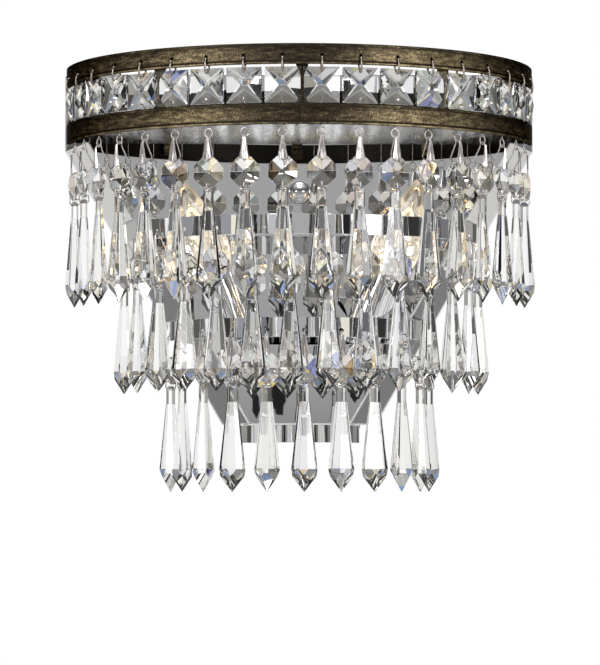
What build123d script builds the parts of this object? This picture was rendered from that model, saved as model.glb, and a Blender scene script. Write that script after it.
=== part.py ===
from build123d import *
import os
from math import cos, hypot, radians, sin, sqrt, tan

# Crystal wall sconce: a half-round basket of bronze and chrome bands on a
# mirror-polished wall plate, hung with three tiers of cut-glass strands.
# Frame: origin on the wall, on the axis of the cap nut that holds the plate.
# +X to the right, +Z up, the room is towards -Y.  All sizes in millimetres.

os.makedirs("parts", exist_ok=True)

# ---------------------------------------------------------------- dimensions
# Clearances
seat_gap = 0.3            # beside a piece that hangs or rests on its carrier
slot_clearance = 0.35     # round each tab, stud and arm in the plate

# Wall plate: a shallow pan with bevelled sides, open towards the wall
plate_overhang = 0.6      # outline past the bands, each side
plate_top_drop = 3.0      # below the top of the upper band
plate_shoulder = 28.5     # level where the straight sides turn inwards
plate_bottom = -150.3
plate_foot_half_width = 50.3
plate_depth = 20.0
plate_bevel = 15.5        # how far the front panel is inset from the outline
plate_sheet = 1.2

# Bronze bands
band_radius = 152.4       # outer
band_thickness = 3.0
band_height = 12.7
band_top = 81.0
band_end_setback = 18.0   # the bands stop this far from the wall
band_edge = 0.5           # broken outer edges
tongue_thickness = 1.5
tongue_height = 8.0
tongue_reach = 1.5        # the tongues stop this far from the wall
tongue_root = 4.0         # how far a tongue runs into its band

# Chrome rings
ring_thickness = 1.5
ring_height = 12.7
middle_ring_inset = 5.0   # its tabs from the plate's outline
middle_ring_top = -21.0
middle_ring_setback = 8.4
middle_ring_tab = 5.5
lower_ring_inset = 2.52
lower_ring_top = -83.5
lower_ring_setback = 5.0
lower_ring_tab = 3.5
bottom_ring_inset = 11.3  # from the plate's bottom corners
bottom_ring_height = 11.5
bottom_ring_setback = 3.0
ring_tab_reach = 0.8      # the tabs stop this far from the wall
tab_shoulder = 0.5        # from a ring's top edge down to its tab
bottom_tab_width = 5.0
bottom_tab_rise = 5.0     # above the plate's bottom edge

# Strand patterns: count, pitch and twist in degrees about the wall axis
upper_count = 18
upper_pitch = 9.1
middle_count = 14
middle_pitch = 11.6
middle_twist = 2.4
lower_count = 11
lower_pitch = 16.0
lower_twist = 1.5
hole_radius = 1.5         # drilled holes that the wires hang in
hook_hole_drop = 7.4      # from the top of the upper band
ring_hole_drop = 8.3      # from the top of a chrome ring

# Square crystals between the bands
square_spacing = 1.94     # between neighbouring squares
square_play = 2.3         # between the bands, above and below together
square_depth = 8.0
square_girdle = 2.0
square_hole_inset = 2.8
crystal_hole = 1.7        # drilled through, drawn with four flats
crystal_tip = 0.02        # half the flat that the facets run up to

# Wires
hook_wire = 1.0
hook_half_width = 2.4
hook_bulge = 1.0
link_wire = 1.0
link_pin_reach = 2.0      # past the crystal's middle plane
eye_inner = 2.25          # half the eye's opening
eye_drop = 4.1            # eye centre below the lower band's bottom edge

# Strand, measured down from its pivot
clip_wire = 0.8
clip_bend = 1.4           # inside radius of the bend round the pivot
clip_foot_half_width = 2.6
clip_back_reach = 6.5
clip_back_drop = 9.2
wing_thickness = 0.55
wing_face = 2.2           # from the strand's middle plane to the wing's back
wing_top_drop = 0.4
wing_foot_drop = 12.7
wing_top_width = 2.0
wing_foot_width = 5.9
octagon_drop = 21.0
octagon_width = 18.0
octagon_depth = 9.0
octagon_girdle = 2.0
octagon_hole_inset = 2.0
connector_wire = 0.8
connector_half_width = 3.2
icicle_gap = 0.7          # between the octagon and the neck below it
icicle_hole_drop = 2.1
icicle_neck_width = 6.2
icicle_neck_height = 11.8
icicle_shoulder_width = 6.8
icicle_body_height = 44.7
icicle_width = 15.7
icicle_point_height = 12.2
icicle_point_width = 0.6
icicle_depth_ratio = 0.8
facet_share = 0.42        # width of the front facet over the whole width

# Struts between the bands
strut_count = 5
strut_every = 4           # strand pitches from one strut to the next
strut_width = 3.0
strut_foot_width = 7.5
strut_thickness = 2.4
strut_lap = 10.0          # overlap on each band
strut_flare = 8.0

# Wall fixing
crossbar_length = 110.0
crossbar_width = 20.0
crossbar_thickness = 2.5
screw_spacing = 88.9
screw_hole_radius = 2.5
stud_radius = 3.0
stud_clearance = 0.1
stud_nut_radius = 5.5
stud_nut_thickness = 3.0
stud_reach = 8.0          # past the front panel
cap_washer_radius = 8.0
cap_washer_thickness = 1.5
cap_ball_radius = 7.0
cap_skin = 2.5            # metal past the stud's end
cap_neck_radius = 5.6     # where the ball meets its washer
cap_step = 22.5           # degrees from one facet of the ball to the next

# Lamps
lamp_bearing = 38.66      # degrees from straight ahead
lamp_clearance = 9.97     # between a sleeve's foot and the lower ring's line
lamp_level = -96.0
lamp_tilt = 20.0          # degrees, outwards
arm_radius = 4.0
arm_level = -112.0
arm_bend = 8.0            # length cut off each run at the bend
arm_nut_radius = 7.0
arm_nut_thickness = 3.0
arm_tail = 7.0            # behind the front panel
cup_thickness = 2.0
sleeve_radius = 11.0
sleeve_wall = 1.2
sleeve_length = 42.0
socket_length = 40.0
socket_bore_depth = 24.0
socket_floor_gap = 2.0    # under the bulb's base
bulb_base_radius = 6.0
bulb_clearance = 0.4
bulb_radius = 16.0
bulb_glass_length = 72.0
bulb_flame = (            # outline in shares of the radius and of the glass's length
    (0.84, 0.12), (1.0, 0.28), (0.93, 0.45), (0.72, 0.64), (0.4, 0.84), (0.1, 1.0),
)

# ------------------------------------------------------------ derived places
plate_half_width = band_radius + plate_overhang
plate_top = band_top - plate_top_drop
side_slope = (plate_half_width - plate_foot_half_width) / (plate_shoulder - plate_bottom)
band_middle = band_radius - band_thickness / 2
band_inner = band_radius - band_thickness
square_side = 2 * band_middle * sin(radians(upper_pitch / 2)) - square_spacing
band_gap = square_side + square_play
lower_band_top = band_top - band_height - band_gap
lower_band_bottom = lower_band_top - band_height
square_level = lower_band_top + band_gap / 2 - (band_gap - square_side) / 4
square_hole_offset = square_side / 2 - square_hole_inset
hook_hole_level = band_top - hook_hole_drop
link_radius = band_inner - seat_gap - link_wire / 2
eye_level = lower_band_bottom - eye_drop
pivot_drop = clip_bend - seat_gap               # below the lip that a clip hangs on
upper_pivot = eye_level - eye_inner - pivot_drop
middle_pivot = middle_ring_top - ring_hole_drop - hole_radius - pivot_drop
lower_pivot = lower_ring_top - ring_hole_drop - hole_radius - pivot_drop
octagon_hole_offset = octagon_width / 2 - octagon_hole_inset
clip_length = octagon_drop - octagon_hole_offset
icicle_top = octagon_drop + octagon_width / 2 + icicle_gap
bottom_ring_top = plate_bottom - seat_gap
socket_radius = sleeve_radius - sleeve_wall - seat_gap
bulb_base_length = socket_bore_depth - socket_floor_gap


def fitted_radius(top, tab, inset, setback):
    # radius of a half ring whose tabs stand this far inside the plate's slanting sides
    level = top - tab_shoulder - tab / 2
    half_width = plate_foot_half_width + side_slope * (level - plate_bottom)
    return hypot(half_width - inset, setback)


middle_ring_radius = fitted_radius(
    middle_ring_top, middle_ring_tab, middle_ring_inset, middle_ring_setback)
lower_ring_radius = fitted_radius(
    lower_ring_top, lower_ring_tab, lower_ring_inset, lower_ring_setback)
bottom_ring_radius = plate_foot_half_width - bottom_ring_inset
lamp_reach = lower_ring_radius - sleeve_radius - lamp_clearance
lamp_x = lamp_reach * sin(radians(lamp_bearing))
lamp_y = lamp_reach * cos(radians(lamp_bearing))          # in front of the wall
arm_x = lamp_x - (lamp_level - arm_level) * tan(radians(lamp_tilt))


def fan(count, pitch, twist=0.0):
    # angles of a pattern centred on the front, seen from above
    return [twist + pitch * (i - (count - 1) / 2) for i in range(count)]


def around(angle, radius, level):
    # place on a half ring: local -Y points outwards, local X runs along the ring
    return Location((0, 0, level), (0, 0, angle)) * Location((0, -radius, 0))


def save(piece, name):
    piece.label = name
    export_step(piece, f"parts/{name}.step")


upper_fan = fan(upper_count, upper_pitch)
middle_fan = fan(middle_count, middle_pitch, middle_twist)
lower_fan = fan(lower_count, lower_pitch, lower_twist)
strut_fan = fan(strut_count, upper_pitch * strut_every)


# ------------------------------------------------------ bronze bands and rings
def tab_x(radius, setback):
    # where the middle of a half ring's wall stands when it stops at the setback
    return sqrt(radius**2 - setback**2)


def half_ring(radius, thickness, bottom, height, setback):
    # the part of a ring that lies further than the setback from the wall
    with BuildPart() as ring:
        with BuildSketch(Plane.XY.offset(bottom)):
            Circle(radius + thickness / 2)
            Circle(radius - thickness / 2, mode=Mode.SUBTRACT)
            with Locations((0, radius - setback)):
                Rectangle(3 * radius, 2 * radius, mode=Mode.SUBTRACT)
        extrude(amount=height)
    return ring.part


def end_tabs(x, start, reach, thickness, bottom, height):
    # a flat tab at each end of a half ring, from start towards the wall
    with BuildPart() as tabs:
        with BuildSketch(Plane.XY.offset(bottom)):
            with Locations((x, -(start + reach) / 2), (-x, -(start + reach) / 2)):
                Rectangle(thickness, start - reach)
        extrude(amount=height)
    return tabs.part


def drill_row(angles, radius, level, hole, depth):
    # holes drilled through a half ring from outside, drawn with six flats
    with BuildPart() as drill:
        with BuildSketch(Plane.XZ.offset(-depth / 2)):
            RegularPolygon(hole, 6, major_radius=False)
        extrude(amount=depth)
    with BuildPart() as drills:
        for angle in angles:
            with Locations(around(angle, radius, level)):
                add(drill.part)
    return drills.part


def faceted(rings):
    # a solid with flat facets between rings of corners, closed by the first and last
    faces = [Face(Wire.make_polygon(rings[0])), Face(Wire.make_polygon(rings[-1]))]
    for near, far in zip(rings, rings[1:]):
        for i in range(len(near)):
            faces.append(Face(Wire.make_polygon([near[i - 1], near[i], far[i], far[i - 1]])))
    return Solid(Shell(faces))


band_tongue_x = tab_x(band_middle, band_end_setback)


def band_tongues(band_bottom, grow=0.0):
    # grown by the slot clearance, the same tongues cut their slots in the plate
    return end_tabs(
        band_tongue_x,
        band_end_setback + tongue_root,
        tongue_reach - grow,
        tongue_thickness + 2 * grow,
        band_bottom + (band_height - tongue_height) / 2 - grow,
        tongue_height + 2 * grow,
    )


def ring_tabs(radius, top, setback, tab, grow=0.0):
    return end_tabs(
        tab_x(radius, setback),
        setback + ring_thickness,
        ring_tab_reach - grow,
        ring_thickness + 2 * grow,
        top - tab_shoulder - tab - grow,
        tab + 2 * grow,
    )


def bottom_tabs(grow=0.0):
    # the bottom ring's tabs stand up through the plate's bottom edge
    x = tab_x(bottom_ring_radius, bottom_ring_setback)
    y = -bottom_ring_setback - bottom_tab_width / 2
    with BuildPart() as tabs:
        with BuildSketch(Plane.XY.offset(bottom_ring_top - ring_thickness)):
            with Locations((x, y), (-x, y)):
                Rectangle(ring_thickness + 2 * grow, bottom_tab_width + 2 * grow)
        extrude(amount=bottom_tab_rise + seat_gap + ring_thickness + grow)
    return tabs.part


with BuildPart() as top_band:
    add(half_ring(band_middle, band_thickness, band_top - band_height, band_height,
                  band_end_setback))
    chamfer(top_band.faces().sort_by(Axis.Z)[-1].outer_wire().edges(), band_edge)
    add(band_tongues(band_top - band_height))
    add(drill_row(upper_fan, band_middle, hook_hole_level, hole_radius, 2 * band_thickness),
        mode=Mode.SUBTRACT)
save(top_band.part, "top_band")

with BuildPart() as lower_band:
    add(half_ring(band_middle, band_thickness, lower_band_bottom, band_height,
                  band_end_setback))
    chamfer(lower_band.faces().sort_by(Axis.Z)[-1].outer_wire().edges(), band_edge)
    add(band_tongues(lower_band_bottom))
save(lower_band.part, "lower_band")

with BuildPart() as middle_ring:
    add(half_ring(middle_ring_radius, ring_thickness, middle_ring_top - ring_height,
                  ring_height, middle_ring_setback))
    add(ring_tabs(middle_ring_radius, middle_ring_top, middle_ring_setback, middle_ring_tab))
    add(drill_row(middle_fan, middle_ring_radius, middle_ring_top - ring_hole_drop,
                  hole_radius, 2 * ring_thickness), mode=Mode.SUBTRACT)
save(middle_ring.part, "middle_ring")

with BuildPart() as lower_ring:
    add(half_ring(lower_ring_radius, ring_thickness, lower_ring_top - ring_height,
                  ring_height, lower_ring_setback))
    add(ring_tabs(lower_ring_radius, lower_ring_top, lower_ring_setback, lower_ring_tab))
    add(drill_row(lower_fan, lower_ring_radius, lower_ring_top - ring_hole_drop,
                  hole_radius, 2 * ring_thickness), mode=Mode.SUBTRACT)
save(lower_ring.part, "lower_ring")

with BuildPart() as bottom_ring:
    add(half_ring(bottom_ring_radius, ring_thickness, bottom_ring_top - bottom_ring_height,
                  bottom_ring_height, bottom_ring_setback))
    add(bottom_tabs())
save(bottom_ring.part, "bottom_ring")

# ---------------------------------------------------------------- wall plate
slant_inset = plate_bevel * hypot(1, side_slope)
knee_rise = (slant_inset - plate_bevel) / side_slope


def plate_outline(inset):
    # half-width and level of the outline's corners, anticlockwise from the top right
    share = inset / plate_bevel
    right = [
        (plate_half_width - inset, plate_top),
        (plate_half_width - inset, plate_shoulder + share * knee_rise),
        (plate_foot_half_width - share * slant_inset, plate_bottom),
    ]
    return right + [(-x, z) for x, z in reversed(right)]


with BuildPart() as wall_plate:
    add(faceted([
        [(x, 0, z) for x, z in plate_outline(0)],
        [(x, -plate_depth, z) for x, z in plate_outline(plate_bevel)],
    ]))
    offset(amount=-plate_sheet, openings=wall_plate.faces().sort_by(Axis.Y)[-1],
           kind=Kind.INTERSECTION)
    with BuildSketch(Plane.XZ.offset(plate_depth - 2 * plate_sheet)):
        Circle(stud_radius + slot_clearance)
        with Locations((arm_x, arm_level), (-arm_x, arm_level)):
            Circle(arm_radius + slot_clearance)
    extrude(amount=3 * plate_sheet, mode=Mode.SUBTRACT)
    add(band_tongues(band_top - band_height, slot_clearance), mode=Mode.SUBTRACT)
    add(band_tongues(lower_band_bottom, slot_clearance), mode=Mode.SUBTRACT)
    add(ring_tabs(middle_ring_radius, middle_ring_top, middle_ring_setback,
                  middle_ring_tab, slot_clearance), mode=Mode.SUBTRACT)
    add(ring_tabs(lower_ring_radius, lower_ring_top, lower_ring_setback,
                  lower_ring_tab, slot_clearance), mode=Mode.SUBTRACT)
    add(bottom_tabs(slot_clearance), mode=Mode.SUBTRACT)
save(wall_plate.part, "wall_plate")

# --------------------------------------------------------------- wall fixing
with BuildPart() as crossbar:
    with BuildSketch(Plane.XZ):
        SlotOverall(crossbar_length, crossbar_width)
        Circle(stud_radius + stud_clearance, mode=Mode.SUBTRACT)
        with GridLocations(screw_spacing, 0, 2, 1):
            Circle(screw_hole_radius, mode=Mode.SUBTRACT)
    extrude(amount=crossbar_thickness)
save(crossbar.part, "crossbar")

stud_length = plate_depth + stud_reach
with BuildPart() as mount_stud:
    with BuildSketch(Plane.XZ):
        Circle(stud_radius)
    extrude(amount=stud_length)
    with BuildSketch(Plane.XZ.offset(crossbar_thickness)):
        RegularPolygon(stud_nut_radius, 6)
    extrude(amount=stud_nut_thickness)
save(mount_stud.part, "mount_stud")

cap_bore_depth = stud_reach + stud_clearance
cap_centre = cap_bore_depth + cap_skin - cap_ball_radius   # from the front panel
cap_arc = [radians(cap_step * i) for i in range(1, int(180 / cap_step))]
cap_profile = [(cap_ball_radius * sin(a), cap_centre + cap_ball_radius * cos(a)) for a in cap_arc]
with BuildPart() as cap_nut:
    with BuildSketch(Plane.XY):
        with BuildLine():
            Polyline(
                (stud_radius + stud_clearance, -plate_depth),
                (stud_radius + stud_clearance, -plate_depth - cap_bore_depth),
                (0, -plate_depth - cap_bore_depth),
                (0, -plate_depth - cap_centre - cap_ball_radius),
                *[(r, -plate_depth - h) for r, h in cap_profile if h > cap_washer_thickness],
                (cap_neck_radius, -plate_depth - cap_washer_thickness),
                (cap_washer_radius, -plate_depth - cap_washer_thickness),
                (cap_washer_radius, -plate_depth),
                close=True,
            )
        make_face()
    revolve(axis=Axis.Y)
save(cap_nut.part, "cap_nut")

# --------------------------------------------------------------------- struts
strut_bottom = lower_band_top - strut_lap
strut_top = band_top - band_height + strut_lap
strut_mirror = lower_band_top + band_gap / 2               # the struts' half height
strut_corners = [
    (strut_foot_width / 2, strut_bottom),
    (strut_foot_width / 2, lower_band_top + seat_gap),
    (strut_width / 2, lower_band_top + strut_flare),
]
strut_right = strut_corners + [(x, 2 * strut_mirror - z) for x, z in reversed(strut_corners)]

with BuildPart() as strut:
    with BuildSketch(Plane.XZ):
        Polygon(*strut_right, *[(-x, z) for x, z in reversed(strut_right)], align=None)
    extrude(amount=-strut_thickness)

with BuildPart() as band_struts:
    for angle in strut_fan:
        with Locations(around(angle, band_inner - seat_gap, 0)):
            add(strut.part)
save(band_struts.part, "band_struts")


# ------------------------------------------------------------------- crystals
def pierce(offsets, depth):
    # drilled holes, front to back, at these heights
    with BuildPart() as holes:
        with BuildSketch(Plane.XZ.offset(-depth)):
            for height in offsets:
                with Locations((0, height)):
                    Rectangle(crystal_hole, crystal_hole)
        extrude(amount=2 * depth)
    return holes.part


def double_pyramid(sides, width, depth, girdle, hole_offset):
    # a flat-rimmed crystal with a pyramid of facets on both faces
    def corners(half, y):
        reach = half / cos(radians(180 / sides))
        turns = [radians(360 * (i + 0.5) / sides) for i in range(sides)]
        return [(reach * sin(turn), y, reach * cos(turn)) for turn in turns]

    with BuildPart() as crystal:
        add(faceted([
            corners(crystal_tip, -depth / 2),
            corners(width / 2, -girdle / 2),
            corners(width / 2, girdle / 2),
            corners(crystal_tip, depth / 2),
        ]))
        add(pierce((hole_offset, -hole_offset), depth), mode=Mode.SUBTRACT)
    return crystal.part


square = double_pyramid(4, square_side, square_depth, square_girdle, square_hole_offset)
octagon = double_pyramid(8, octagon_width, octagon_depth, octagon_girdle,
                         octagon_hole_offset)

with BuildPart() as square_crystals:
    for angle in upper_fan:
        with Locations(around(angle, band_middle, square_level)):
            add(square)
save(square_crystals.part, "square_crystals")


# ---------------------------------------------------------------------- wires
def wire_loop(corners, wire):
    # a closed wire loop bent in the radial plane; corners are (outwards, up)
    with BuildPart() as loop:
        with BuildSketch(Plane.YZ):
            Polygon(*[(-out, up) for out, up in corners], align=None)
            offset(amount=wire / 2, kind=Kind.INTERSECTION)
            with BuildSketch(mode=Mode.SUBTRACT):
                Polygon(*[(-out, up) for out, up in corners], align=None)
                offset(amount=-wire / 2, kind=Kind.INTERSECTION)
        extrude(amount=wire / 2, both=True)
    return loop.part


# C-shaped hooks from the holes of the upper band to the squares
hook_top = hook_hole_level - hole_radius + seat_gap + hook_wire / 2
hook_foot = square_level + square_hole_offset
hook_knee = (hook_top + hook_foot) / 2
hook = wire_loop(
    [
        (hook_half_width, hook_top),
        (hook_half_width + hook_bulge, hook_knee),
        (hook_half_width, hook_foot),
        (-hook_half_width, hook_foot),
        (-hook_half_width - hook_bulge / 2, hook_knee),
        (-hook_half_width, hook_top),
    ],
    hook_wire,
)
with BuildPart() as square_hooks:
    for angle in upper_fan:
        with Locations(around(angle, band_middle, 0)):
            add(hook)
save(square_hooks.part, "square_hooks")

# Eye links: a pin through the square, a shank behind the lower band, an eye
link_pin_level = square_level - square_hole_offset
link_pin_length = band_middle + link_pin_reach - link_radius
link_shank_foot = eye_level + eye_inner + link_wire / 2
with BuildPart() as eye_link:
    with BuildSketch(Plane.XZ.offset(-link_wire / 2)):
        with Locations((0, eye_level)):
            RegularPolygon(eye_inner + link_wire, 6, major_radius=False)
            RegularPolygon(eye_inner, 6, major_radius=False, mode=Mode.SUBTRACT)
        with Locations((0, (link_shank_foot + link_pin_level) / 2)):
            Rectangle(link_wire, link_pin_level - link_shank_foot)
    extrude(amount=link_wire)
    with BuildSketch(Plane.XZ.offset(-link_wire / 2)):
        with Locations((0, link_pin_level)):
            Rectangle(link_wire, link_wire)
    extrude(amount=link_pin_length + link_wire / 2)

with BuildPart() as eye_links:
    for angle in upper_fan:
        with Locations(around(angle, link_radius, 0)):
            add(eye_link.part)
save(eye_links.part, "eye_links")

# -------------------------------------------------------------------- strands
# One strand with its pivot at the origin: clip, octagon, connector, icicle
def clip_outline(grow):
    # the clip's bent wire from the side, its centre line grown or shrunk
    shoulder = clip_bend + clip_wire / 2
    with BuildSketch() as outline:
        with BuildLine():
            ThreePointArc((-shoulder, 0), (0, shoulder), (shoulder, 0))
            Polyline(
                (shoulder, 0),
                (clip_back_reach, -clip_back_drop),
                (clip_foot_half_width, -clip_length),
                (-clip_foot_half_width, -clip_length),
                (-shoulder, 0),
            )
        make_face()
        offset(amount=grow, kind=Kind.INTERSECTION)
    return outline.sketch


with BuildPart() as clip:
    with BuildSketch(Plane.YZ):
        add(clip_outline(clip_wire / 2))
        add(clip_outline(-clip_wire / 2), mode=Mode.SUBTRACT)
    extrude(amount=clip_wire / 2, both=True)
    with BuildSketch(Plane.XZ.offset(wing_face)):
        Polygon(
            (wing_top_width / 2, -wing_top_drop),
            (-wing_top_width / 2, -wing_top_drop),
            (-wing_foot_width / 2, -wing_foot_drop),
            (wing_foot_width / 2, -wing_foot_drop),
            align=None,
        )
    extrude(amount=wing_thickness)

icicle_hole = icicle_top + icicle_hole_drop
connector_top = octagon_drop + octagon_hole_offset
connector = wire_loop(
    [
        (connector_half_width, -connector_top),
        (connector_half_width, -icicle_hole),
        (-connector_half_width, -icicle_hole),
        (-connector_half_width, -connector_top),
    ],
    connector_wire,
)


def facet_ring(width, drop):
    # corners of an icicle's flattened eight-sided section at this drop below the pivot
    half = width / 2
    deep = half * icicle_depth_ratio
    quarter = [(half, deep * facet_share), (half * facet_share, deep)]
    front = quarter + [(-x, y) for x, y in reversed(quarter)]
    return [(x, y, -drop) for x, y in front + [(-x, -y) for x, y in front]]


icicle_neck_foot = icicle_top + icicle_neck_height
icicle_belly = icicle_neck_foot + icicle_body_height
with BuildPart() as icicle:
    add(faceted([
        facet_ring(icicle_neck_width, icicle_top),
        facet_ring(icicle_neck_width, icicle_neck_foot),
    ]))
    add(faceted([
        facet_ring(icicle_shoulder_width, icicle_neck_foot),
        facet_ring(icicle_width, icicle_belly),
        facet_ring(icicle_point_width, icicle_belly + icicle_point_height),
    ]))
    with BuildSketch(Plane.XZ.offset(-icicle_width)):
        with Locations((0, -icicle_hole)):
            Rectangle(crystal_hole, crystal_hole)
    extrude(amount=2 * icicle_width, mode=Mode.SUBTRACT)


def hang_strands(tier, angles, radius, pivot):
    for number, angle in enumerate(angles, start=1):
        with BuildPart() as strand:
            with Locations(around(angle, radius, pivot)):
                add(clip.part)
                add(connector)
                add(icicle.part)
            with Locations(around(angle, radius, pivot - octagon_drop)):
                add(octagon)
        save(strand.part, f"{tier}_strand_{number:02d}")


hang_strands("upper", upper_fan, link_radius, upper_pivot)
hang_strands("middle", middle_fan, middle_ring_radius, middle_pivot)
hang_strands("lower", lower_fan, lower_ring_radius, lower_pivot)


# ---------------------------------------------------------------------- lamps
def lamp_plane(side, rise=0.0):
    # plane across a lamp's axis; side is 1 on the right and -1 on the left
    lean = radians(lamp_tilt)
    axis = (side * sin(lean), 0, cos(lean))
    foot = (side * lamp_x, -lamp_y, lamp_level)
    return Plane(origin=foot, x_dir=(0, -1, 0), z_dir=axis).offset(rise)


bend_level = arm_level + arm_bend * cos(radians(lamp_tilt))
bend_x = arm_x + arm_bend * sin(radians(lamp_tilt))
with BuildPart() as lamp_arms:
    for side in (1, -1):
        panel = (side * arm_x, -plate_depth, arm_level)
        with BuildLine() as route:
            Polyline(
                (side * arm_x, -plate_depth + arm_tail, arm_level),
                (side * arm_x, -lamp_y + arm_bend, arm_level),
                (side * bend_x, -lamp_y, bend_level),
                (side * lamp_x, -lamp_y, lamp_level),
            )
        with BuildSketch(Plane(origin=route.line @ 0, z_dir=route.line % 0)):
            Circle(arm_radius)
        sweep(path=route.line, transition=Transition.RIGHT)
        with BuildSketch(Plane(origin=panel, x_dir=(1, 0, 0), z_dir=(0, -1, 0))):
            RegularPolygon(arm_nut_radius, 6)
        extrude(amount=arm_nut_thickness)
        with BuildSketch(lamp_plane(side, -cup_thickness)):
            Circle(sleeve_radius)
        extrude(amount=cup_thickness)
save(lamp_arms.part, "lamp_arms")

with BuildPart() as lamp_sleeves:
    for side in (1, -1):
        with BuildSketch(lamp_plane(side)):
            Circle(sleeve_radius)
            Circle(sleeve_radius - sleeve_wall, mode=Mode.SUBTRACT)
        extrude(amount=sleeve_length)
save(lamp_sleeves.part, "lamp_sleeves")

with BuildPart() as lamp_sockets:
    for side in (1, -1):
        with BuildSketch(lamp_plane(side)):
            Circle(socket_radius)
        extrude(amount=socket_length)
        with BuildSketch(lamp_plane(side, socket_length - socket_bore_depth)):
            Circle(bulb_base_radius + bulb_clearance)
        extrude(amount=socket_bore_depth, mode=Mode.SUBTRACT)
save(lamp_sockets.part, "lamp_sockets")

glass_foot = bulb_base_length
with BuildPart() as bulb:
    with BuildSketch(Plane.XZ):
        with BuildLine():
            Polyline(
                (0, 0),
                (bulb_base_radius, 0),
                (bulb_base_radius, glass_foot),
                *[(bulb_radius * wide, glass_foot + bulb_glass_length * high)
                  for wide, high in bulb_flame],
                (0, glass_foot + bulb_glass_length),
                close=True,
            )
        make_face()
    revolve(axis=Axis.Z)

with BuildPart() as bulbs:
    for side in (1, -1):
        foot = lamp_plane(side, socket_length - bulb_base_length)
        with Locations(foot.location):
            add(bulb.part)
save(bulbs.part, "bulbs")
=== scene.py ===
import bpy
import bmesh
import random
from math import asin, cos, degrees, pi, radians, sin, sqrt
from mathutils import Matrix, Vector


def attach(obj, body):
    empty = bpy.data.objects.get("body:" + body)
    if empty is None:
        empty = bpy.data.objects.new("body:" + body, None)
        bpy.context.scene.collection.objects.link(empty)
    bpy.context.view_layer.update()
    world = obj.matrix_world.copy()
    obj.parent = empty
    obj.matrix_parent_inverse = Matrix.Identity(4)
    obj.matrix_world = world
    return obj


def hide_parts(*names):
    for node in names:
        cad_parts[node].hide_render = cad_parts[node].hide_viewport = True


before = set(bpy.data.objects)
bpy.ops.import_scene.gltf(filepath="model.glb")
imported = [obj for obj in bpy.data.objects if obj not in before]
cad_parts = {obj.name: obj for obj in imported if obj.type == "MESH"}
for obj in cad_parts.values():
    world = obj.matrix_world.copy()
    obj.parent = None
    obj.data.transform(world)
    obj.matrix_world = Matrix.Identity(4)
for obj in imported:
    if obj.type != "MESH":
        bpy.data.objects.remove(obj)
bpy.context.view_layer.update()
fixture = "fixture"      # the body that hangs on the wall and doesn't move
print("packed model loaded")

# The studio and the finishes are in metres. The pieces are in millimetres until finishPiece scales them.
mm = 0.001
touching = 1e-5          # corners nearer to each other than this are one
plateFront = 20.0        # how far the plate's face stands from the wall

# camera, floor, lamps and surroundings
cameraSetup = {
    "place": (-0.0293, -2.2749, -0.1908),
    "turn": 0.753,          # degrees to the right
    "tilt": 2.545,          # degrees upwards
    "lens": 188.7, "filmWidth": 36, "nearest": 0.05,
}
studio = {
    "backdrop": (1.0, 1.0, 1.0),
    # bearing in degrees (0 = in front, + = right) where each tone of the room begins, with its warmth
    "panels": [
        (-180, 1.00, 0.0), (-159, 0.34, 0.2), (-151, 0.12, 0.4), (-143, 0.48, 0.3), (-118, 0.12, 0.6),
        (-95, 0.98, 0.0), (-84, 0.32, -0.3), (-70, 0.05, 0.8), (-58, 0.35, -0.4), (-44, 0.92, 1.3),
        (-34, 0.22, -0.5), (-30, 0.02, 0.5), (-27, 0.34, 0.3), (-24, 1.15, 0.0), (-21, 0.58, -0.2),
        (-13, 0.44, 0.0), (5, 0.04, 0.0), (7, 0.46, 0.0), (20, 1.15, 0.0), (23.5, 0.42, 0.8),
        (26.5, 0.02, 0.3), (30, 0.24, -0.4), (34, 0.88, 1.0), (43, 0.08, 0.8), (54, 0.34, -0.3),
        (68, 0.04, 0.5), (84, 0.98, 0.0), (95, 0.20, -0.5), (122, 0.40, 0.4), (141, 0.12, 0.3),
        (150, 0.38, -0.3), (159, 1.00, 0.0)],
    # height of the direction (-1 down, +1 up) where each tone of floor and ceiling begins, with its warmth
    "heights": [
        (-1.0, 0.10, 0.5), (0.20, 0.22, 0.0), (0.30, 0.30, -5.5), (0.33, 0.22, 0.0), (0.36, 0.32, 0.6),
        (0.44, 0.75, 4.5), (0.465, 0.12, 0.8), (0.57, 0.50, 0.2), (0.70, 0.40, -5.5), (0.72, 0.55, 0.2),
        (0.80, 1.08, 0.6), (0.93, 0.95, 0.2)],
    # from straight down (0) to straight up (1): where the heights' tones take the place of the panels'
    "offLevel": [(0.0, 1.0), (0.42, 1.0), (0.43, 0.0), (0.60, 0.0), (0.62, 1.0), (1.0, 1.0)],
    # over the same range: how the room darkens towards its floor
    "dusk": [(0.0, 0.3), (0.490, 0.3), (0.503, 0.5), (0.514, 0.94), (0.535, 1.0), (1.0, 1.0)],
    # from the front (0) to the back (1): where the backdrop begins, and the direction's height where it ends
    "rear": [(0.965, 0.0), (0.970, 1.0)], "backdropTop": 0.24,
    # things before the light that the plate mirrors: bearing in degrees, height, half width, half height
    "darkShapes": [(0.40, 0.0284, 0.13, 0.0078), (1.66, 0.0308, 0.15, 0.0064), (0.03, 0.0239, 0.06, 0.0040)],
    "shapeTone": 0.02, "shapeGrain": 420.0, "shapeRaggedness": 2.0,
}
floorPaper = {
    "level": -0.62, "size": 6.0, "tone": 0.82, "glow": 0.95, "glowShare": 0.9,
    # brightness of the floor from 4 m in front (0) to 4 m behind (1)
    "reach": 4.0,
    "brightness": [(0.0, 0.30), (0.20, 0.30), (0.205, 0.62), (0.30, 0.62), (0.305, 0.10), (0.40, 0.10),
                   (0.405, 0.34), (0.47, 0.34), (0.475, 0.16), (0.50, 0.16), (0.55, 0.24), (0.70, 1.0)],
    # where a dark cloth lies on each side, in metres to the side and backwards, and how dark it is
    "clothAside": (0.80, 1.32), "clothBack": (0.10, 0.50), "clothTone": 0.08,
}
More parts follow.
